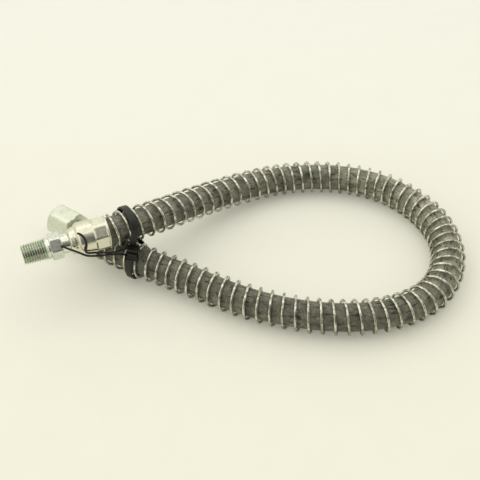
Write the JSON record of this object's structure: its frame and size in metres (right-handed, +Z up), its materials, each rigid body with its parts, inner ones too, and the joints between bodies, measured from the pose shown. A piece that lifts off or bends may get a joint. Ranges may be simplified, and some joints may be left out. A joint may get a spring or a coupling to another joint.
{
  "type": "hydraulic hose assembly",
  "caption": "Flexible rubber hose in a coiled wire guard, lying in a loop, with a male pipe-thread end and a hexagon swivel-nut end held together by a cable tie.",
  "frame": {"origin": "on the surface that the hose lies on, under the middle of the whole assembly", "axes": "+X from the crossed ends towards the far end of the loop, +Z up; the male end is the upper of the two crossed ends"},
  "size_m": [0.2693, 0.1449, 0.0479],
  "materials": {
    "tube_rubber": "satin",
    "braid_wire": "satin",
    "cover_rubber": "matte, dusty",
    "guard_wire": "galvanised, satin",
    "zinc_plate": "zinc plated, satin, faint yellow-green passivation",
    "tie_plastic": "satin",
    "cord_fibre": "matte"
  },
  "bodies": {
    "hose_assembly": {"inner_tube": "tube_rubber", "inner_braid": "braid_wire", "outer_braid": "braid_wire", "outer_cover": "cover_rubber", "spring_guard": "guard_wire", "male_stem": "zinc_plate", "male_ferrule": "zinc_plate", "swivel_stem": "zinc_plate", "swivel_ferrule": "zinc_plate", "cable_tie": "tie_plastic", "tie_cord": "cord_fibre"},
    "swivel_nut": {"swivel_nut": "zinc_plate"}
  },
  "joints": [
    {"name": "nut_turn", "type": "hinge", "parent": "hose_assembly", "child": "swivel_nut", "pos_m": [-0.1125, 0.01051, 0.01178], "axis": [-0.8077, 0.5874, -0.0499], "continuous": true}
  ]
}
